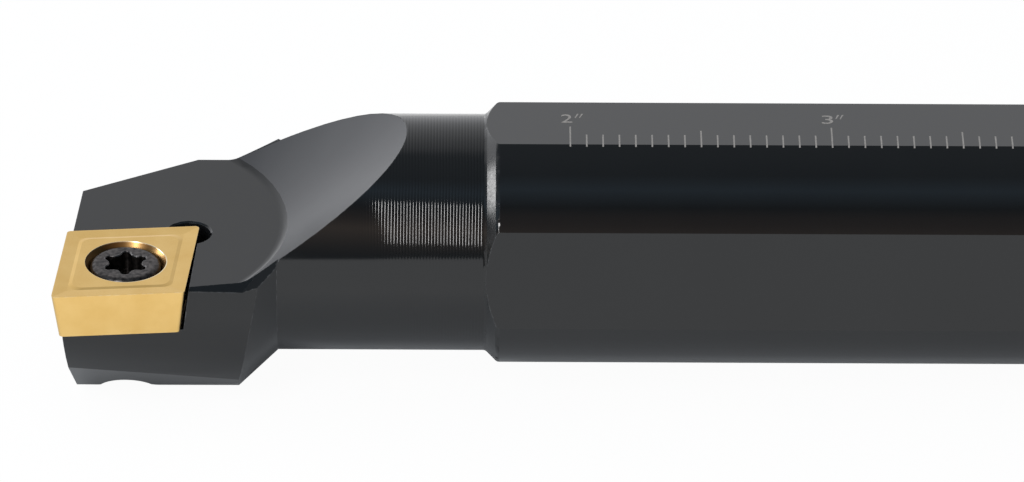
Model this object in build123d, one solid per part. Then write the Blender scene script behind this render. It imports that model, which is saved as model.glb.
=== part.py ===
from build123d import *
import os
from math import sin, cos, tan, radians

# Screw-clamp boring bar for 80 degree indexable inserts: a turned and milled steel bar,
# one positive insert and the one screw that holds it.
# Millimetres. X runs along the bar: 0 is the rear end face, the cutting head is at -X.
# -Y is the cutting-edge side, +Z the rake side, and Y = 0, Z = 0 is the bar's centre line.

# Bar blank
overall_length = 304.8          # nose to rear end, twelve inches
shank_diameter = 25.4           # one-inch shank
flat_depth = 1.075              # each of the four flats milled along the shank
shoulder_step = 1.15            # the neck is turned down this far below the shank
head_diameter = 30.2            # turned head, on the same centre as the neck
nose_to_shank = 43.0            # nose to the start of the full shank diameter
nose_to_neck = 21.65            # nose to the foot of the cone behind the head
cone_angle = 43.0               # slope of that cone against the bar
shoulder_foot_radius = 0.5      # cove where the shoulder rises from the neck
shoulder_crest_radius = 0.6     # and its rounded upper edge
rear_chamfer = 1.0

# Attitude of the insert in the bar
nose_offset = 16.2              # bar centre to nose, across the bar
nose_rise = 0.1                 # cutting nose above the bar centre
lead_angle = 5.0                # the bar's "95 degree" style: 5 degrees past square
rake_tilt = 5.85                # the whole seat leans down toward the nose

# Insert
inscribed_circle = 12.7
corner_angle = 80.0
insert_thickness = 4.76
insert_clearance = 7.0
corner_radius = 0.4
insert_bore = 5.5
insert_mouth = 7.9              # mouth of the countersink on the rake face
chip_land = 0.1                 # flat land along the edges of the rake face
chip_fall_width = 1.25          # chip former behind that land: it falls gently,
chip_depth = 0.07
chip_rise_width = 0.35          # then rises to the flat middle of the face
chip_corner_radius = 1.0        # and is rounded at the corners of that middle

# Insert screw
screw_head_diameter = 6.9
screw_head_sink = 0.75          # widest part of the head, below the rake face
screw_crown_sink = 0.12         # flat top of the head, below the rake face
screw_head_rounding = 0.6       # rounded rim between them
screw_thread_diameter = 5.0
screw_length = 9.0
screw_tip_chamfer = 0.5
head_clearance = 0.05           # screw head in its countersink, on the radius
thread_clearance = 0.05         # thread in its hole, on the radius
seat_half_angle = 30.0          # countersunk seat of the screw head
recess_reach = 2.2              # six-lobe recess: centre to the tip of a lobe
lobe_pitch = 60
recess_valley = 1.55            # centre to the bulge between two lobes
lobe_radius = 0.42
recess_depth = 2.0
recess_chamfer = 0.08

# Milling of the head
flat_drop = 0.3                 # head flat below the insert's rake face
gullet_floor_radius = 18.5      # round end of the head flat
gullet_centre_x = 3.7           # its centre behind the nose
gullet_centre_y = 1.54          # and off the bar centre toward the cutting edge
gullet_angle = 40.0             # slope of the run-out up to the neck
gullet_corner = 1.2             # small radius between the flat and that slope
end_setback = 0.57              # head end face behind the nose
end_relief = 2.6                # that face leans back below
back_clearance = 0.01           # milled back of the head, outside the neck
back_tilt = 15.0                # that face leans in toward the rake side
back_overrun = 4.0              # its milling passes the foot of the cone
taper_angle = 29.4              # back corner taper in plan
taper_start_y = 5.05            # where the taper meets the end face
taper_start_x = 2.46            # that corner, behind the nose
flank_radius = 14.0             # rounded relief under the cutting side
flank_swing = 5.0               # its axis swings away from the nose side
flank_dip = 5.15                # and dips toward the shank
flank_axis_y = -0.19            # axis position at flank_axis_x behind the nose
flank_axis_z = -1.16
flank_axis_x = 9.46
relief_line_x = 1.6             # lower end of that relief: a point behind the nose
relief_line_y = -6.84           # the relief stays outside this line
relief_line_z = -10.3
relief_line_dip = 7.66          # and its lower end dips toward the shank
under_angle = 50.0              # flat that meets the relief: it faces this far below level
under_lean = 1.2                # and a little toward the nose
under_y = -11.6                 # a point on its upper edge, at relief_line_x
under_z = -9.45
bevel_angle = 42.1              # bevel between the head flat and the relief
bevel_plan = 5.94
bevel_x = 15.79                 # a point of the bevel, behind the nose
bevel_y = -13.38
bevel_z = -0.18
runout_slope = 29.7             # the bevel climbs to end at the neck
runout_plan = 11.7
runout_inset = 0.17             # its last point, short of the cone's foot
runout_y = -11.65
runout_z = 1.16
runout_end_tilt = 0.45          # its end face leans this much for each unit along the bar
seat_side_gap = 0.35            # play beside the insert at the cutting side
seat_side_closing = 1.2         # the wall closes on the insert toward its inner corner
relief_hole_diameter = 4.3      # drilled corner of the seat
relief_inset_x = 1.1            # its centre inside the insert's far corner
relief_inset_y = 0.7
relief_hole_sink = 0.3          # hole goes this far below the seat floor
relief_hole_chamfer = 0.15
thread_hole_extra = 0.8         # thread hole past the screw's end
access_hole_diameter = 6.1      # drilled up from the underside to that hole
access_hole_y = -5.5
access_hole_top = -7.8

shank_radius = shank_diameter / 2
neck_radius = shank_radius - shoulder_step
head_radius = head_diameter / 2
cone_length = (head_radius - neck_radius) / tan(radians(cone_angle))
nose_x = -overall_length
shank_x = nose_x + nose_to_shank
neck_x = nose_x + nose_to_neck
head_x = neck_x - cone_length
flat_start = shank_x - shoulder_step
far = 80.0                      # reach of the cutting blocks, well past the bar
reach = 12.0                    # cutters for the insert and its seat pass its outline
rise = 3.0                      # and stand this far off the rake face

# Frame of the rake face: origin at the nose, local X along the bar, local Z off the face.
rake = Plane(origin=(nose_x, -nose_offset, nose_rise), x_dir=(1, 0, 0),
             z_dir=(0, -sin(radians(rake_tilt)), cos(radians(rake_tilt))))
# The insert's own frame: its long cutting edge lies along local X.
tip = rake * Rot(0, 0, lead_angle)

edge = inscribed_circle / sin(radians(corner_angle))
lean = tan(radians(insert_clearance))
half_diagonal = edge * cos(radians(corner_angle / 2))
centre = (half_diagonal * cos(radians(corner_angle / 2)), half_diagonal * sin(radians(corner_angle / 2)))


def rhomb(grow, level):
    """The insert's outline, grown on all four sides, at a height off the rake face."""
    length = edge + 2 * grow / sin(radians(corner_angle))
    shift = grow / tan(radians(corner_angle / 2))
    skew = (length * cos(radians(corner_angle)), length * sin(radians(corner_angle)))
    pts = [(-shift, -grow), (length - shift, -grow),
           (length - shift + skew[0], skew[1] - grow), (skew[0] - shift, skew[1] - grow)]
    return Plane.XY.offset(level) * Polygon(*pts, align=None)


def ruled(lower, upper):
    return loft([lower, upper], ruled=True)


# ---- insert: 80 degree rhomb with leaning sides and a countersunk bore
top = fillet(rhomb(0, 0).vertices(), corner_radius)
foot = fillet(rhomb(-insert_thickness * lean, -insert_thickness).vertices(), corner_radius)
insert = ruled(foot, top)
head_radius_screw = screw_head_diameter / 2
seat_top_radius = head_radius_screw + head_clearance
seat_drop = (seat_top_radius - insert_bore / 2) / tan(radians(seat_half_angle))
bore = Pos(*centre, 0) * (
    Cylinder(insert_bore / 2, 4 * insert_thickness)
    + Pos(0, 0, -screw_head_sink / 2) * Cone(seat_top_radius, insert_mouth / 2, screw_head_sink)
    + Pos(0, 0, -screw_head_sink - seat_drop / 2) * Cone(insert_bore / 2, seat_top_radius, seat_drop))
insert -= bore
# shallow chip former all round the rake face
former_bottom = rhomb(-chip_land - chip_fall_width, -chip_depth)
former_top = rhomb(-chip_land, 0)
middle_foot = fillet(rhomb(-chip_land - chip_fall_width, -chip_depth).vertices(), chip_corner_radius)
middle_top = fillet(rhomb(-chip_land - chip_fall_width - chip_rise_width, 0).vertices(), chip_corner_radius)
insert -= ruled(former_bottom, former_top) - ruled(middle_foot, middle_top)
insert = tip * insert

# ---- insert screw: countersunk head, six-lobe recess, thread drawn as a plain rod
rod_radius = screw_thread_diameter / 2 - thread_clearance
rim = (seat_top_radius - head_radius_screw) / tan(radians(seat_half_angle))
cone_drop = (head_radius_screw - rod_radius) / tan(radians(seat_half_angle))
profile = make_face(Polyline(
    (0, 0, -screw_crown_sink), (head_radius_screw, 0, -screw_crown_sink),
    (head_radius_screw, 0, -screw_head_sink - rim),
    (rod_radius, 0, -screw_head_sink - rim - cone_drop),
    (rod_radius, 0, -screw_length + screw_tip_chamfer),
    (rod_radius - screw_tip_chamfer, 0, -screw_length),
    (0, 0, -screw_length), close=True))
head_corner = profile.vertices().sort_by(Axis.Z)[-2:].sort_by(Axis.X)[-1]
screw = revolve(fillet(head_corner, screw_head_rounding), Axis.Z)
# the lobes and the bulges between them are arcs that meet smoothly
lobe_centre = recess_reach - lobe_radius
half_pitch = radians(lobe_pitch / 2)
bulge_radius = (recess_valley**2 + lobe_centre**2 - 2 * lobe_centre * recess_valley * cos(half_pitch)
                - lobe_radius**2) / (2 * (lobe_radius + lobe_centre * cos(half_pitch) - recess_valley))
bulge_centre = recess_valley + bulge_radius
share = lobe_radius / (lobe_radius + bulge_radius)
meet = Vector(lobe_centre + share * (bulge_centre * cos(half_pitch) - lobe_centre),
              share * bulge_centre * sin(half_pitch))
arcs = []
for turn in range(0, 360, lobe_pitch):
    lobe_start, lobe_tip, lobe_end, valley, next_lobe = (
        point.rotate(Axis.Z, turn + lobe_pitch / 2 + extra) for point, extra in [
            (Vector(meet.X, -meet.Y), 0), (Vector(recess_reach, 0), 0), (meet, 0),
            (Vector(recess_valley, 0), lobe_pitch / 2), (Vector(meet.X, -meet.Y), lobe_pitch)])
    arcs += [ThreePointArc(lobe_start, lobe_tip, lobe_end), ThreePointArc(lobe_end, valley, next_lobe)]
lobes = make_face(arcs)
screw -= Pos(0, 0, -screw_crown_sink - recess_depth) * extrude(lobes, amount=recess_depth + 1)
crown = screw.faces().filter_by(Axis.Z).sort_by(Axis.Z)[-1]
screw = chamfer(crown.inner_wires()[0].edges(), recess_chamfer)
screw = tip * Pos(*centre, 0) * Rot(0, 0, -lead_angle) * screw

# ---- bar blank, turned in one piece
blank_front = nose_x + end_setback / 2
outline = make_face(Polyline(
    (blank_front, 0), (blank_front, head_radius), (head_x, head_radius), (neck_x, neck_radius),
    (flat_start, neck_radius), (shank_x, shank_radius),
    (-rear_chamfer, shank_radius), (0, shank_radius - rear_chamfer), (0, 0), close=True))
shoulder_foot = outline.vertices().sort_by_distance((flat_start, neck_radius, 0))[0]
outline = fillet(shoulder_foot, shoulder_foot_radius)
shoulder_crest = outline.vertices().sort_by_distance((shank_x, shank_radius, 0))[0]
outline = fillet(shoulder_crest, shoulder_crest_radius)
bar = revolve(outline, Axis.X)

# four flats along the shank
flat_cut = Box(overall_length, far, far, align=(Align.MIN, Align.CENTER, Align.MIN))
for turn in (0, 90, 180, 270):
    bar -= Rot(turn, 0, 0) * Pos(flat_start, 0, shank_radius - flat_depth) * flat_cut

# rounded relief under the cutting side
flank_round = Pos(nose_x + flank_axis_x, flank_axis_y, flank_axis_z) * Rot(0, flank_dip, flank_swing) \
    * Rot(0, 90, 0) * Cylinder(flank_radius, far)
before_neck = Pos(neck_x, 0, 0) * Box(far, 2 * far, 2 * far, align=(Align.MAX, Align.CENTER, Align.CENTER))
relief_line = Pos(nose_x + relief_line_x, relief_line_y, relief_line_z) * Rot(0, relief_line_dip, 0)
flank_zone = relief_line * Box(far, far, far, align=(Align.CENTER, Align.MAX, Align.MIN))
bar -= (flank_zone & before_neck) - flank_round

# flat under that relief
block = Box(far, far, far, align=(Align.CENTER, Align.CENTER, Align.MIN))
under_normal = (-tan(radians(under_lean)), -cos(radians(under_angle)), -sin(radians(under_angle)))
under = Plane(origin=(nose_x + relief_line_x, under_y, under_z), z_dir=under_normal) * block
bar -= under & before_neck

# head end face, back corner taper and back of the head
end_normal = (-1, tan(radians(lead_angle)), -tan(radians(end_relief)))
bar -= Plane(origin=(nose_x + end_setback, -nose_offset, 0), z_dir=end_normal) * block
taper_normal = (-sin(radians(taper_angle)), cos(radians(taper_angle)), 0)
bar -= Plane(origin=(nose_x + taper_start_x, taper_start_y, 0), z_dir=taper_normal) * block
back_normal = (0, cos(radians(back_tilt)), sin(radians(back_tilt)))
back_reach = neck_radius + back_clearance
back = Plane(origin=(neck_x - far / 2 + back_overrun, back_reach * back_normal[1],
                     back_reach * back_normal[2]), z_dir=back_normal)
bar -= back * block

# head flat with its round end and run-out to the neck
growth = head_radius / tan(radians(gullet_angle))
mill = Cone(gullet_floor_radius, gullet_floor_radius + growth, head_radius,
            align=(Align.CENTER, Align.CENTER, Align.MIN))
mill = fillet(mill.edges().sort_by(Axis.Z)[0], gullet_corner)
mill = Pos(gullet_centre_x, nose_offset - gullet_centre_y, -flat_drop) * mill
slab = Pos(gullet_centre_x, 0, -flat_drop) * Box(
    far, 2 * far, head_radius, align=(Align.MAX, Align.CENTER, Align.MIN))
bar -= rake * (mill + slab)

# bevel along the flat on the cutting side
bevel_normal = (sin(radians(bevel_plan)), -sin(radians(bevel_angle)), cos(radians(bevel_angle)))
runout_normal = (-sin(radians(runout_plan)), -sin(radians(runout_slope)), cos(radians(runout_slope)))
runout_point = (neck_x - runout_inset, runout_y, runout_z)
bevel = Plane(origin=(nose_x + bevel_x, bevel_y, bevel_z), z_dir=bevel_normal) * block
bevel &= Plane(origin=runout_point, z_dir=runout_normal) * block
bevel &= Plane(origin=runout_point, z_dir=(-1, 0, runout_end_tilt)) * block
bar -= bevel

# seat of the insert: floor under it, wall against its inner side, play at the other wall
def seat_outline(level):
    """Seat outline at a height off the rake face, running out past the nose."""
    grow = level * lean
    inner = edge * sin(radians(corner_angle)) + grow
    slant = 1 / tan(radians(corner_angle + seat_side_closing))
    front_x = edge + (seat_side_gap + grow) / sin(radians(corner_angle))
    return Plane.XY.offset(level) * Polygon(
        (-reach, -reach), (front_x - reach * slant, -reach), (front_x + inner * slant, inner),
        (-reach, inner), align=None)


bar -= tip * ruled(seat_outline(-insert_thickness), seat_outline(rise))

# drilled inner corner of the seat, with its edge broken
relief_x = edge + edge * cos(radians(corner_angle)) - relief_inset_x
relief_y = edge * sin(radians(corner_angle)) - relief_inset_y
drill_depth = insert_thickness + relief_hole_sink
relief_radius = relief_hole_diameter / 2
bar -= tip * Pos(relief_x, relief_y, -drill_depth) * Cylinder(
    relief_radius, drill_depth + rise, align=(Align.CENTER, Align.CENTER, Align.MIN))
bar -= tip * Pos(relief_x, relief_y, -flat_drop - relief_hole_chamfer / 2) * Cone(
    relief_radius, relief_radius + relief_hole_chamfer, relief_hole_chamfer)

# thread hole under the seat and the hole that reaches it from the underside
bar -= tip * Pos(*centre, -screw_length - thread_hole_extra) * Cylinder(
    screw_thread_diameter / 2, screw_length + thread_hole_extra,
    align=(Align.CENTER, Align.CENTER, Align.MIN))

bore_axis = (tip * Pos(*centre, 0)).position
bar -= Pos(bore_axis.X, access_hole_y, access_hole_top) * Cylinder(
    access_hole_diameter / 2, head_diameter, align=(Align.CENTER, Align.CENTER, Align.MAX))

os.makedirs("parts", exist_ok=True)
export_step(bar, "parts/bar.step")
export_step(insert, "parts/insert.step")
export_step(screw, "parts/insert_screw.step")
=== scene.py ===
from math import cos, pi, radians, sin, sqrt

import bpy
from mathutils import Matrix, Vector


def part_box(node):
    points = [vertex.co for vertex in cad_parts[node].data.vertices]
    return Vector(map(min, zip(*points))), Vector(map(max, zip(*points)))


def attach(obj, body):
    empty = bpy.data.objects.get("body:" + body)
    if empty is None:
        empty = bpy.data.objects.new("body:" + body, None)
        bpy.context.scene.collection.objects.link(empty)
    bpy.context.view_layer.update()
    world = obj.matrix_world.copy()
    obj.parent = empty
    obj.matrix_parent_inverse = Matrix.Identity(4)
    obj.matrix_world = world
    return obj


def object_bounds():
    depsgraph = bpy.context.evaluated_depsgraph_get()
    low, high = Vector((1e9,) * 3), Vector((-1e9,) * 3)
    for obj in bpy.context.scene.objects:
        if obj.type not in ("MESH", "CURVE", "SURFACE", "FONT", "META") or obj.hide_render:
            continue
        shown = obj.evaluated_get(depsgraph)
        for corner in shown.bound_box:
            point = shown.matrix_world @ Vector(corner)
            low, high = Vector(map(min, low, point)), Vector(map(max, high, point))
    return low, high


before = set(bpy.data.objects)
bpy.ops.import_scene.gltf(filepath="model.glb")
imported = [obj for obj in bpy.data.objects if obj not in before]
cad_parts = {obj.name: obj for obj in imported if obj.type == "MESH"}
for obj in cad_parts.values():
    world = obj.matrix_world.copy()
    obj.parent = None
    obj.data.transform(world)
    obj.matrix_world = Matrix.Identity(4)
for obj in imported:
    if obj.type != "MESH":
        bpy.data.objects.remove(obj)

cad_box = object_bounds()
MM = 0.001
scene = bpy.context.scene
scene.view_settings.view_transform = "Standard"


# ---- Camera
# A long lens, nearly a metre off on the bar's cutting side. It looks down at about 24 degrees and is
# rolled by a third of a degree.
CAMERA_DISTANCE = 985.7 * MM
CAMERA_AIM = Vector((-260.35, 0.03, -0.98)) * MM
CAMERA_PITCH = radians(24.181)
CAMERA_YAW = radians(0.16)
CAMERA_ROLL = radians(0.325)
CAMERA_LENS = 354.19

forward = Vector((sin(CAMERA_YAW) * cos(CAMERA_PITCH), cos(CAMERA_YAW) * cos(CAMERA_PITCH),
                  -sin(CAMERA_PITCH)))
level = Vector((cos(CAMERA_YAW), -sin(CAMERA_YAW), 0))
upright = level.cross(forward)
picture_right = cos(CAMERA_ROLL) * level + sin(CAMERA_ROLL) * upright
picture_up = cos(CAMERA_ROLL) * upright - sin(CAMERA_ROLL) * level

camera = bpy.data.objects.new("camera", bpy.data.cameras.new("camera"))
scene.collection.objects.link(camera)
camera.data.sensor_width = 36
camera.data.lens = CAMERA_LENS
camera.data.clip_start = 0.1
camera.data.clip_end = 10
facing = Matrix((picture_right, picture_up, -forward)).transposed()
camera.matrix_world = Matrix.Translation(CAMERA_AIM - CAMERA_DISTANCE * forward) @ facing.to_4x4()
scene.camera = camera


# ---- Studio
# A white table in a room that is white behind, dark in front and overhead and brighter toward the
# left, with a brown band low in front and a blue one higher. A softbox stands low on the left and a
# tall narrow key light at the front left.
TABLE_FRONT = 0.39               # the table ends this far in front of the bar's centre
TABLE_SIDE = 3.0
TABLE_SHOWN = 0.94               # share of the table that looks plain white to the camera
TABLE_MIRRORED = 0.80            # and in polished metal, away from the painted shadow under the bar
TABLE_WHITE = 1.02
TABLE_TONE = (0.82, 0.86, 0.90, 1)
TABLE_TONE_MIRRORED = (0.86, 0.90, 0.95, 1)
PAINTED_SHADOW_CORE = 6 * MM             # the painted shadow, mirrored in the metal, is deepest this near the bar's centre line
PAINTED_SHADOW_REACH = 30 * MM           # and fades out by here
PLAIN_LIGHT = 0.50               # light from all round on matt surfaces
LEFT_BRIGHTER = 0.7              # the room's gain toward the left, and its loss toward the right
ROOM = [                         # degrees up from the horizon in front and over to the back, and colour
    (0, (0.03, 0.03, 0.03)), (24, (0.44, 0.32, 0.24)), (34, (0.16, 0.10, 0.07)), (46, (0.0, 0.0, 0.0)),
    (62, (0.16, 0.24, 0.32)), (76, (0.08, 0.10, 0.12)), (104, (0.14, 0.16, 0.18)),
    (116, (0.45, 0.46, 0.48)), (136, (0.68, 0.69, 0.71)), (180, (0.88, 0.89, 0.92))]
LAMP_DISTANCE = 1.2
LAMP_AIM = 25 * MM               # the lamps point this far behind the nose


def add(tree, kind, inputs=None, **settings):
    """One node, with its settings, and its inputs: each a value or another node's output."""
    made = tree.nodes.new(kind)
    for name, value in settings.items():
        setattr(made, name, value)
    for key, value in (inputs or {}).items():
        if isinstance(value, bpy.types.NodeSocket):
            tree.links.new(value, made.inputs[key])
        else:
            made.inputs[key].default_value = value
    return made


def calc(tree, operation, *values):
    """The output of one Math node."""
    return add(tree, "ShaderNodeMath", dict(enumerate(values)), operation=operation).outputs[0]


def split(tree, vector):
    """The X, Y and Z outputs of a vector."""
    return add(tree, "ShaderNodeSeparateXYZ", {0: vector}).outputs


def spread(tree, value, start, end, top=1.0):
    """0 up to the start and a top value from the end on, straight between them."""
    return add(tree, "ShaderNodeMapRange", {"Value": value, "From Min": start, "From Max": end,
                                            "To Max": top}).outputs["Result"]


def mixed(tree, share, first, second):
    """The first colour where the share is 0, the second where it is 1."""
    return add(tree, "ShaderNodeMix", {"Factor": share, "A": first, "B": second},
               data_type="RGBA").outputs["Result"]


def ramp(tree, factor, stops):
    """A Color Ramp of (place, colour) stops, read at a factor."""
    made = add(tree, "ShaderNodeValToRGB", {"Fac": factor})
    elements = made.color_ramp.elements
    for index, (place, colour) in enumerate(stops):
        stop = elements[index] if index < 2 else elements.new(place)
        stop.position = place
        stop.color = (*colour, 1)
    return made.outputs["Color"]


def new_material(name):
    """An empty node material, its tree and its output node."""
    made = bpy.data.materials.new(name)
    made.use_nodes = True
    made.node_tree.nodes.clear()
    return made, made.node_tree, made.node_tree.nodes.new("ShaderNodeOutputMaterial")


world = bpy.data.worlds.new("studio")
scene.world = world
world.use_nodes = True
world.cycles.sampling_method = "NONE"
tree = world.node_tree
tree.nodes.clear()
to_right, to_back, to_top = split(tree, add(tree, "ShaderNodeTexCoord").outputs["Generated"])
sweep = calc(tree, "ARCTAN2", to_top, calc(tree, "MULTIPLY", to_back, -1))
seen = ramp(tree, calc(tree, "DIVIDE", sweep, pi), [(degrees / 180, colour) for degrees, colour in ROOM])
leftward = calc(tree, "MULTIPLY_ADD", to_right, -LEFT_BRIGHTER, 1.0)
seen = add(tree, "ShaderNodeVectorMath", {0: seen, "Scale": leftward}, operation="SCALE").outputs[0]
light_path = add(tree, "ShaderNodeLightPath").outputs
lit = mixed(tree, light_path["Is Diffuse Ray"], seen, (PLAIN_LIGHT, PLAIN_LIGHT, PLAIN_LIGHT, 1))
lit = mixed(tree, light_path["Is Camera Ray"], lit, (1, 1, 1, 1))
background = add(tree, "ShaderNodeBackground", {"Color": lit})
tree.links.new(background.outputs[0], add(tree, "ShaderNodeOutputWorld").inputs["Surface"])

table_finish, tree, output = new_material("white_table")
table_finish.cycles.emission_sampling = "NONE"
light_path = add(tree, "ShaderNodeLightPath").outputs
mirrored = calc(tree, "MAXIMUM", light_path["Is Glossy Ray"], light_path["Is Transmission Ray"])
# painted shadow: the table's white share in reflections falls to nothing near the bar's centre line
off_centre = calc(tree, "ABSOLUTE", split(tree, add(tree, "ShaderNodeTexCoord").outputs["Object"])["Y"])
outside_painted_shadow = spread(tree, off_centre, PAINTED_SHADOW_CORE, PAINTED_SHADOW_REACH, top=TABLE_MIRRORED)
white_share = calc(tree, "MULTIPLY_ADD", light_path["Is Camera Ray"], TABLE_SHOWN,
                   calc(tree, "MULTIPLY", mirrored, outside_painted_shadow))
matt_tone = mixed(tree, mirrored, TABLE_TONE, TABLE_TONE_MIRRORED)
matt = add(tree, "ShaderNodeBsdfDiffuse", {"Color": matt_tone}).outputs[0]
white = add(tree, "ShaderNodeEmission", {"Color": (1, 1, 1, 1), "Strength": TABLE_WHITE}).outputs[0]
shown = add(tree, "ShaderNodeMixShader", {0: white_share, 1: matt, 2: white})
tree.links.new(shown.outputs[0], output.inputs["Surface"])

middle = (cad_box[0].x + cad_box[1].x) / 2
table_mesh = bpy.data.meshes.new("table")
corners = [(middle - TABLE_SIDE, -TABLE_FRONT), (middle + TABLE_SIDE, -TABLE_FRONT),
           (middle + TABLE_SIDE, TABLE_SIDE), (middle - TABLE_SIDE, TABLE_SIDE)]
table_mesh.from_pydata([(x, y, cad_box[0].z) for x, y in corners], [], [(0, 1, 2, 3)])
table_mesh.materials.append(table_finish)
table = bpy.data.objects.new("table", table_mesh)
scene.collection.objects.link(table)


def softbox(name, bearing, height, width, tall, brightness):
    """A rectangular lamp aimed at the head: bearing is degrees from straight left toward the front."""
    head = Vector((cad_box[0].x + LAMP_AIM, 0, 0))
    out = Vector((-cos(radians(bearing)) * cos(radians(height)),
                  -sin(radians(bearing)) * cos(radians(height)), sin(radians(height))))
    lamp = bpy.data.lights.new(name, "AREA")
    lamp.shape = "RECTANGLE"
    lamp.size = width
    lamp.size_y = tall
    lamp.energy = brightness * pi * width * tall
    made = bpy.data.objects.new(name, lamp)
    turned = out.to_track_quat("Z", "Y").to_matrix().to_4x4()
    made.matrix_world = Matrix.Translation(head + LAMP_DISTANCE * out) @ turned
    made.visible_camera = False
    scene.collection.objects.link(made)


softbox("softbox_left", bearing=-16, height=10, width=0.46, tall=0.38, brightness=9.5)
softbox("key_light", bearing=62, height=28, width=0.17, tall=0.84, brightness=17.0)


# ---- Bar
# One piece of alloy steel, turned and milled, then blackened in hot oxide and oiled: a thin, dark,
# slightly blue skin that keeps every tool mark. The turned neck shows its feed marks.
NECK_RADIUS = 11.55 * MM
SHANK_RADIUS = 12.7 * MM
HEAD_RADIUS = 15.15 * MM
NECK_WITHIN = 0.07 * MM                   # a surface this near the neck's radius is the turned neck
HEAD_WITHIN = 0.10 * MM                   # and the same for the turned head
CONE_FOOT = cad_box[0].x + 21.6 * MM      # where the head's cone meets the neck
CHAMFER_FROM = CONE_FOOT + 15 * MM        # past this, what leans toward the nose is the chamfer
RUNOUT_END = CONE_FOOT + 20 * MM
WORN_AND_HIGHLIGHTED_END = CONE_FOOT + 22 * MM            # edges are rubbed bright and carry painted highlights up to here
FEED_PITCH = 0.301 * MM
FEED_SLOPE = 0.30                         # how far they rock the normal on the neck
FEED_ON_HEAD = 0.5                        # and the head's share of that
FEED_DEEP = cad_box[0].x + 33.5 * MM      # the marks are deepest from here to the shoulder
FEED_RUN_IN = 5 * MM                      # and deepen toward it over this length
FEED_SHALLOW = 0.25                       # share of the depth that they have ahead of it
RAKE_TILT = radians(5.85)
RAKE_AXIS = Vector((0, -sin(RAKE_TILT), cos(RAKE_TILT)))
NOSE = Vector((cad_box[0].x, -16.2 * MM, 0.1 * MM))     # a point on the rake face's plane
RUNOUT_LOWEST = -0.25 * MM                # height over that plane where the run-out counts from
RUNOUT_FACING = 0.766                     # cosine of its 40 degree slope
OXIDE_DEEP = (0.0078, 0.0089, 0.0101)
OXIDE_PALE = (0.0090, 0.0102, 0.0114)
RUNOUT_GREY = (0.040, 0.0425, 0.048, 1)
BARE_STEEL_AND_HIGHLIGHT = (0.34, 0.35, 0.37, 1)

oxide, tree, output = new_material("black_oxide_steel")
place = add(tree, "ShaderNodeTexCoord").outputs["Object"]
normal = add(tree, "ShaderNodeNewGeometry").outputs["Normal"]
along, across, height = split(tree, place)
radius = calc(tree, "SQRT", calc(tree, "ADD", calc(tree, "MULTIPLY", across, across),
                                 calc(tree, "MULTIPLY", height, height)))


def product(tree, first, *others):
    """All the values multiplied, one after another."""
    for other in others:
        first = calc(tree, "MULTIPLY", first, other)
    return first


def vector_calc(tree, operation, *values):
    """One Vector Math node."""
    return add(tree, "ShaderNodeVectorMath", dict(enumerate(values)), operation=operation)


def near(value, target, width):
    """1 where a value is within a width of its target, else 0, in the material at hand."""
    return calc(tree, "LESS_THAN", calc(tree, "ABSOLUTE", calc(tree, "SUBTRACT", value, target)), width)


def noise(scale, detail=2.0, stretch=(1, 1, 1)):
    """Noise on the place in the material at hand; scale is in features to the metre."""
    stretched = add(tree, "ShaderNodeMapping", {"Vector": place, "Scale": stretch}).outputs[0]
    return add(tree, "ShaderNodeTexNoise", {"Vector": stretched, "Scale": scale,
                                            "Detail": detail}).outputs["Fac"]


# feed marks: the normal rocks along the bar on the turned neck, more faintly on the turned head
on_neck = near(radius, NECK_RADIUS, NECK_WITHIN)
on_head = near(radius, HEAD_RADIUS, HEAD_WITHIN)
deepening = calc(tree, "MULTIPLY_ADD", calc(tree, "SUBTRACT", along, FEED_DEEP), 1 / FEED_RUN_IN, 1.0)
deepening = add(tree, "ShaderNodeClamp", {"Value": deepening, "Min": FEED_SHALLOW, "Max": 1.0}).outputs[0]
uneven = product(tree, calc(tree, "MULTIPLY_ADD", noise(300, 2.0), 0.6, 0.75), deepening)
depth = product(tree, calc(tree, "MULTIPLY_ADD", on_head, FEED_ON_HEAD, on_neck), uneven)
across_mark = calc(tree, "FRACT", calc(tree, "MULTIPLY", along, 1 / FEED_PITCH))
rock = product(tree, calc(tree, "MULTIPLY_ADD", across_mark, 2.0, -1.0), product(tree, depth, FEED_SLOPE))
rocked = vector_calc(tree, "ADD", normal, add(tree, "ShaderNodeCombineXYZ", {0: rock}).outputs[0])
rocked = vector_calc(tree, "NORMALIZE", rocked.outputs[0]).outputs[0]

# fine grain of the oxide, and the long faint lines that milling and grinding leave along the flats
along_flats = noise(5000, 3.0, (0.02, 1, 1))
grain = calc(tree, "MULTIPLY_ADD", noise(9000, 2.0), 0.6, calc(tree, "MULTIPLY", along_flats, 0.4))
fine = add(tree, "ShaderNodeBump", {"Strength": 0.22, "Distance": 0.004 * MM, "Height": grain,
                                    "Normal": rocked}).outputs[0]
colour = ramp(tree, noise(90, 4.0), [(0.30, OXIDE_DEEP), (0.70, OXIDE_PALE)])
rough = calc(tree, "MULTIPLY_ADD", noise(260, 3.0), 0.04, 0.045)
rough = calc(tree, "MULTIPLY_ADD", on_neck, 0.035, rough)


def along_rake(vector):
    """How far a vector reaches off the rake face, in the material at hand."""
    return vector_calc(tree, "DOT_PRODUCT", vector, RAKE_AXIS).outputs["Value"]


# the run-out, cut by the side of a tapered mill, is duller and greyer than the other faces
rise = calc(tree, "SUBTRACT", along_rake(place), RAKE_AXIS.dot(NOSE))
lean_back = split(tree, normal)["X"]
on_runout = product(
    tree, calc(tree, "GREATER_THAN", rise, RUNOUT_LOWEST), calc(tree, "LESS_THAN", lean_back, 0.05),
    calc(tree, "SUBTRACT", 1.0, on_neck), near(along_rake(normal), RUNOUT_FACING, 0.05),
    calc(tree, "LESS_THAN", along, RUNOUT_END))
colour = mixed(tree, on_runout, colour, RUNOUT_GREY)
rough = calc(tree, "MULTIPLY_ADD", on_runout, 0.22, rough)
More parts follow.
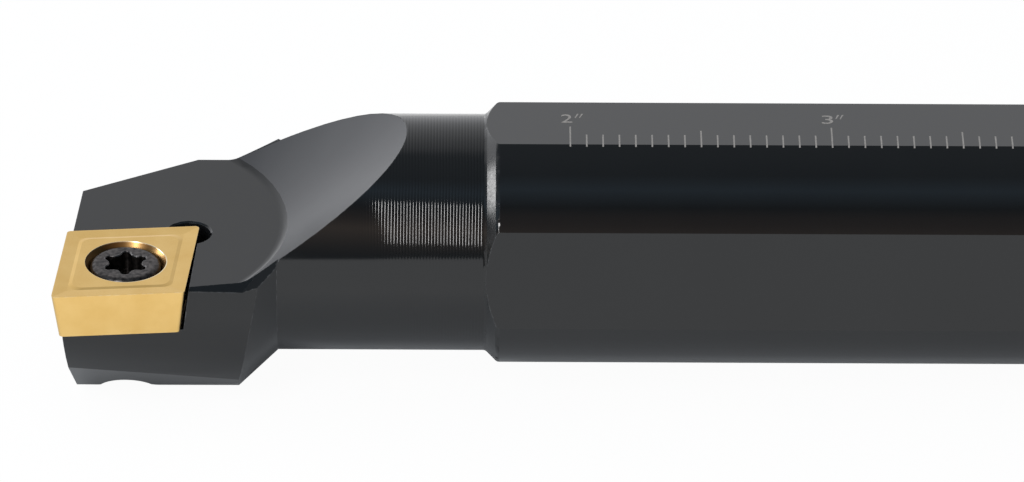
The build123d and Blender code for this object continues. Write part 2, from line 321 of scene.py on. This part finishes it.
# the shoulder's chamfer was turned with a worn tool and is peppered with torn grain
on_chamfer = product(tree, calc(tree, "LESS_THAN", lean_back, -0.3),
                     calc(tree, "GREATER_THAN", along, CHAMFER_FROM))
rough = calc(tree, "MULTIPLY_ADD", on_chamfer, calc(tree, "MULTIPLY", noise(3600, 2.0), 0.30), rough)


def edge_wear(width, start, end):
    """Wear and painted highlight on edges: 0 on open faces, rising to 1 along sharp edges, broken up by
    noise, in the material at hand.
    """
    rounded = add(tree, "ShaderNodeBevel", {"Radius": width}, samples=4).outputs[0]
    agree = vector_calc(tree, "DOT_PRODUCT", rounded, normal).outputs["Value"]
    worn_and_highlighted = spread(tree, calc(tree, "SUBTRACT", 1.0, agree), start, end)
    return product(tree, worn_and_highlighted, spread(tree, noise(1900, 3.0), 0.42, 0.62))


# along the edges of the head, partly rubbed thin so that the steel shines through, partly painted edge
# highlights
worn_and_highlighted = product(tree, edge_wear(0.16 * MM, 0.03, 0.16), calc(tree, "LESS_THAN", along, WORN_AND_HIGHLIGHTED_END))
colour = mixed(tree, calc(tree, "MULTIPLY", worn_and_highlighted, 0.5), colour, BARE_STEEL_AND_HIGHLIGHT)
surface = add(tree, "ShaderNodeBsdfPrincipled", {
    "Base Color": colour, "Roughness": rough, "IOR": 1.5, "Metallic": calc(tree, "MULTIPLY", worn_and_highlighted, 0.6),
    "Normal": fine})
tree.links.new(surface.outputs[0], output.inputs["Surface"])

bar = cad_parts["bar"]
bar.material_slots[0].material = oxide


# ---- Scale on the top flat
# An inch scale in sixteenths, burnt into the oxide by laser: a matt light grey line with no depth to
# feel. The lines run out over the flat's edge, and each whole inch has its number.
TOP_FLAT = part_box("bar")[1].z
FLAT_EDGE = -sqrt(SHANK_RADIUS ** 2 - TOP_FLAT ** 2)
SCALE_ZERO = cad_box[0].x - 0.8 * MM
INCH = 25.4 * MM
FIRST_INCH = 2
LAST_INCH = 10
LINE_WIDTH = 0.15 * MM
LINE_HEIGHT = 0.012 * MM
INCH_LINE = 4.3 * MM
HALF_LINE = 3.4 * MM
SHORT_LINE = 2.36 * MM
OVERRUN = 0.3 * MM
EDGE_SLOPE = 0.43                # the round falls away at this angle past the edge
NUMBER_TALL = 2.0 * MM
NUMBER_WIDE = 1.1 * MM
NUMBER_FOOT = 5.25 * MM          # from the flat's edge to the foot of the number
NUMBER_AHEAD = 0.88 * MM         # it starts this far ahead of its line
TWO_DIGITS = 1.9                 # two digits are this many times as wide as one
TEXT_DEPTH = 0.01                # half the thickness that a number is first drawn with
MARK_GAP = 0.22 * MM             # from the number to its inch marks
MARK_PITCH = 0.42 * MM
MARK_LOW = 1.15 * MM             # height of a mark's lower end
MARK_OVER = 0.15 * MM            # and of its upper end above the number
MARK_THIN = 0.12 * MM            # width of the lower end
MARK_THICK = 0.18 * MM           # and of the upper one
MARK_LEAN = 0.24 * MM            # the upper end stands this far along
LASER_DEEP = (0.24, 0.235, 0.23)
LASER_PALE = (0.40, 0.39, 0.38)

engraved, tree, output = new_material("laser_marking")
place = add(tree, "ShaderNodeTexCoord").outputs["Object"]
tone = ramp(tree, noise(6000, 3.0), [(0.25, LASER_DEEP), (0.75, LASER_PALE)])
surface = add(tree, "ShaderNodeBsdfPrincipled", {"Base Color": tone, "Roughness": 0.6, "IOR": 1.45})
tree.links.new(surface.outputs[0], output.inputs["Surface"])


def graduation_tree():
    """Lines along X at sixteenths: every sixteenth one long, every eighth one middling."""
    tree = bpy.data.node_groups.new("graduations", "GeometryNodeTree")
    tree.interface.new_socket("Geometry", in_out="OUTPUT", socket_type="NodeSocketGeometry")
    for name in ("Spacing", "Inch Line", "Half Line", "Short Line", "Line Width", "Line Height", "Overrun",
                 "Edge Slope"):
        tree.interface.new_socket(name, in_out="INPUT", socket_type="NodeSocketFloat")
    tree.interface.new_socket("Count", in_out="INPUT", socket_type="NodeSocketInt")
    tree.interface.new_socket("Start", in_out="INPUT", socket_type="NodeSocketVector")
    tree.interface.new_socket("Finish", in_out="INPUT", socket_type="NodeSocketMaterial")
    given = tree.nodes.new("NodeGroupInput").outputs
    step = add(tree, "ShaderNodeCombineXYZ", {"X": given["Spacing"]}).outputs[0]
    line = add(tree, "GeometryNodeMeshLine", {"Count": given["Count"], "Start Location": given["Start"],
                                              "Offset": step}).outputs[0]
    index = tree.nodes.new("GeometryNodeInputIndex").outputs[0]

    def every(count):
        """True on each line whose number divides by the count."""
        return add(tree, "FunctionNodeCompare", {"A": calc(tree, "MODULO", index, float(count)), "B": 0.0,
                                                 "Epsilon": 0.1}, operation="EQUAL").outputs[0]

    def pick(test, yes, no):
        """One of two lengths."""
        return add(tree, "GeometryNodeSwitch", {"Switch": test, "True": yes, "False": no},
                   input_type="FLOAT").outputs[0]

    long = pick(every(16), given["Inch Line"], pick(every(8), given["Half Line"], given["Short Line"]))
    unit = add(tree, "GeometryNodeMeshCube", {"Size": (1, 1, 1)}).outputs[0]
    unit = add(tree, "GeometryNodeTransform", {"Geometry": unit, "Translation": (0, 0.5, 0)}).outputs[0]

    def lines(size_y, turn):
        """A box at each point, this long and turned this much about the bar."""
        size = add(tree, "ShaderNodeCombineXYZ", {"X": given["Line Width"], "Y": size_y,
                                                  "Z": given["Line Height"]}).outputs[0]
        spin = add(tree, "ShaderNodeCombineXYZ", {"X": turn}).outputs[0]
        return add(tree, "GeometryNodeInstanceOnPoints", {"Points": line, "Instance": unit, "Scale": size,
                                                          "Rotation": spin}).outputs[0]

    on_flat = lines(long, 0.0)
    past_edge = lines(calc(tree, "MULTIPLY", given["Overrun"], -1), given["Edge Slope"])
    joined = tree.nodes.new("GeometryNodeJoinGeometry")
    tree.links.new(on_flat, joined.inputs[0])
    tree.links.new(past_edge, joined.inputs[0])
    real = add(tree, "GeometryNodeRealizeInstances", {"Geometry": joined.outputs[0]}).outputs[0]
    done = add(tree, "GeometryNodeSetMaterial", {"Geometry": real, "Material": given["Finish"]}).outputs[0]
    tree.links.new(done, tree.nodes.new("NodeGroupOutput").inputs[0])
    return tree


def grown(name, group, values):
    """The plain mesh that a Geometry Nodes tree makes with these inputs, as an object at the origin."""
    carrier = bpy.data.objects.new(name, bpy.data.meshes.new(name))
    scene.collection.objects.link(carrier)
    modifier = carrier.modifiers.new("grow", "NODES")
    modifier.node_group = group
    sockets = {s.name: s.identifier for s in group.interface.items_tree if s.in_out == "INPUT"}
    for key, value in values.items():
        modifier[sockets[key]] = value
    bpy.context.view_layer.update()
    made = bpy.data.meshes.new_from_object(carrier.evaluated_get(bpy.context.evaluated_depsgraph_get()))
    carrier.modifiers.clear()
    carrier.data = made
    made.name = name
    return carrier


graduations = grown("scale_lines", graduation_tree(), {
    "Spacing": INCH / 16, "Inch Line": INCH_LINE, "Half Line": HALF_LINE, "Short Line": SHORT_LINE,
    "Line Width": LINE_WIDTH, "Line Height": LINE_HEIGHT, "Overrun": OVERRUN, "Edge Slope": EDGE_SLOPE,
    "Count": 16 * (LAST_INCH - FIRST_INCH) + 1, "Finish": engraved,
    "Start": (SCALE_ZERO + FIRST_INCH * INCH, FLAT_EDGE, TOP_FLAT)})
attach(graduations, "root")


def drawn_number(text):
    """Vertices and faces of one number, its foot at the origin, drawn to the scale's height and width."""
    writing = bpy.data.curves.new("number", "FONT")
    writing.body = text
    writing.extrude = TEXT_DEPTH
    holder = bpy.data.objects.new("number", writing)
    scene.collection.objects.link(holder)
    bpy.context.view_layer.update()
    made = bpy.data.meshes.new_from_object(holder.evaluated_get(bpy.context.evaluated_depsgraph_get()))
    points = [v.co.copy() for v in made.vertices]
    faces = [tuple(p.vertices) for p in made.polygons]
    bpy.data.objects.remove(holder)
    low = Vector((min(p.x for p in points), min(p.y for p in points), 0))
    high = Vector((max(p.x for p in points), max(p.y for p in points), 0))
    wide = NUMBER_WIDE * (TWO_DIGITS if len(text) == 2 else 1)
    shaped = [Vector(((p.x - low.x) / (high.x - low.x) * wide, (p.y - low.y) / (high.y - low.y) * NUMBER_TALL,
                      (p.z + TEXT_DEPTH) / (2 * TEXT_DEPTH) * LINE_HEIGHT)) for p in points]
    return shaped, faces, wide


def inch_marks(start):
    """Two short slanted strokes, raised to the top of the number."""
    points, faces = [], []
    for stroke in (0, 1):
        foot = start + stroke * MARK_PITCH
        head = foot + MARK_LEAN
        mark_top = NUMBER_TALL + MARK_OVER
        base = len(points)
        for z in (0, LINE_HEIGHT):
            points += [Vector((foot, MARK_LOW, z)), Vector((foot + MARK_THIN, MARK_LOW, z)),
                       Vector((head + MARK_THICK, mark_top, z)), Vector((head, mark_top, z))]
        faces += [tuple(base + i for i in face) for face in (
            (3, 2, 1, 0), (4, 5, 6, 7), (0, 1, 5, 4), (1, 2, 6, 5), (2, 3, 7, 6), (3, 0, 4, 7))]
    return points, faces


points, faces = [], []
for inch in range(FIRST_INCH, LAST_INCH + 1):
    shape, shape_faces, wide = drawn_number(str(inch))
    marks, marks_faces = inch_marks(wide + MARK_GAP)
    corner = Vector((SCALE_ZERO + inch * INCH - NUMBER_AHEAD, FLAT_EDGE + NUMBER_FOOT, TOP_FLAT))
    for more, more_faces in ((shape, shape_faces), (marks, marks_faces)):
        faces += [tuple(len(points) + i for i in face) for face in more_faces]
        points += [corner + p for p in more]
numbers_mesh = bpy.data.meshes.new("scale_numbers")
numbers_mesh.from_pydata(points, [], faces)
numbers_mesh.materials.append(engraved)
numbers = bpy.data.objects.new("scale_numbers", numbers_mesh)
scene.collection.objects.link(numbers)
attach(numbers, "root")


# ---- Insert
# Pressed and ground tungsten carbide under a gold-coloured hard coating, held down by its screw.
# The coating is thin and bright, with a faint cloudiness from the powder grain beneath it.
BORE_MOUTH = Vector((cad_box[0].x + 6.985 * MM, -9.251 * MM, 0.812 * MM))
MOUTH_RADIUS = 3.95 * MM               # of the bore, at the rake face
GOLD_DEEP = (0.84, 0.545, 0.182)
GOLD_PALE = (0.90, 0.605, 0.222)
BORE_GOLD_SHADED = (0.36, 0.21, 0.08, 1)      # painted shade: darker and browner down in the bore
EDGE_GOLD_HIGHLIGHT = (1.0, 0.84, 0.56, 1)       # painted highlight on the bore's lip; along the ground and brushed edges partly wear, partly painted highlight

coated, tree, output = new_material("gold_coated_carbide")
place = add(tree, "ShaderNodeTexCoord").outputs["Object"]
normal = add(tree, "ShaderNodeNewGeometry").outputs["Normal"]
from_bore = vector_calc(tree, "SUBTRACT", place, BORE_MOUTH).outputs[0]
depth = calc(tree, "MULTIPLY", along_rake(from_bore), -1)
reach = vector_calc(tree, "LENGTH", from_bore).outputs["Value"]
reach = calc(tree, "SQRT", calc(tree, "SUBTRACT", product(tree, reach, reach), product(tree, depth, depth)))
in_bore = product(tree, calc(tree, "GREATER_THAN", depth, 0.03 * MM),
                  calc(tree, "LESS_THAN", reach, MOUTH_RADIUS))
# painted highlight: a thin bright ring on the bore's lip
painted_lip_highlight = product(tree, near(reach, MOUTH_RADIUS, 0.05 * MM), near(depth, 0.0, 0.06 * MM))
gold = ramp(tree, noise(420, 4.0), [(0.30, GOLD_DEEP), (0.70, GOLD_PALE)])
# painted shade down in the bore
gold = mixed(tree, in_bore, gold, BORE_GOLD_SHADED)
pale_wear_and_highlight = calc(tree, "MAXIMUM", painted_lip_highlight, calc(tree, "MULTIPLY", edge_wear(0.10 * MM, 0.03, 0.14), 0.7))
gold = mixed(tree, pale_wear_and_highlight, gold, EDGE_GOLD_HIGHLIGHT)
rough = calc(tree, "MULTIPLY_ADD", noise(1500, 3.0), 0.08, 0.15)
rough = calc(tree, "MULTIPLY_ADD", in_bore, 0.15, rough)
fine = add(tree, "ShaderNodeBump", {"Strength": 0.12, "Distance": 0.006 * MM,
                                    "Height": noise(7000, 3.0)}).outputs[0]
surface = add(tree, "ShaderNodeBsdfPrincipled", {
    "Base Color": gold, "Metallic": 1.0, "Roughness": rough, "Normal": fine})
tree.links.new(surface.outputs[0], output.inputs["Surface"])
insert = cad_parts["insert"]
insert.material_slots[0].material = coated


# ---- Insert screw
# Heat-treated steel, cold-headed with a six-lobe recess, so its head is dark and a little coarse. Its sharp
# edges are paler: partly scuffs where the driver has been, partly painted edge highlights.
SCREW_DEEP = (0.045, 0.042, 0.043)
SCREW_PALE = (0.145, 0.132, 0.128)
SCUFFED_AND_HIGHLIGHT = (0.60, 0.60, 0.62, 1)

screw_steel, tree, output = new_material("dark_screw_steel")
place = add(tree, "ShaderNodeTexCoord").outputs["Object"]
normal = add(tree, "ShaderNodeNewGeometry").outputs["Normal"]
steel = ramp(tree, noise(2600, 4.0), [(0.35, SCREW_DEEP), (0.65, SCREW_PALE)])
# sharp edges paler: partly driver scuffs, partly painted edge highlights
steel = mixed(tree, edge_wear(0.12 * MM, 0.03, 0.16), steel, SCUFFED_AND_HIGHLIGHT)
rough = calc(tree, "MULTIPLY_ADD", noise(3000, 3.0), 0.25, 0.24)
fine = add(tree, "ShaderNodeBump", {"Strength": 0.6, "Distance": 0.03 * MM,
                                    "Height": noise(3800, 4.0)}).outputs[0]
surface = add(tree, "ShaderNodeBsdfPrincipled", {
    "Base Color": steel, "Metallic": 1.0, "Roughness": rough, "Normal": fine})
tree.links.new(surface.outputs[0], output.inputs["Surface"])
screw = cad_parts["insert_screw"]
screw.material_slots[0].material = screw_steel
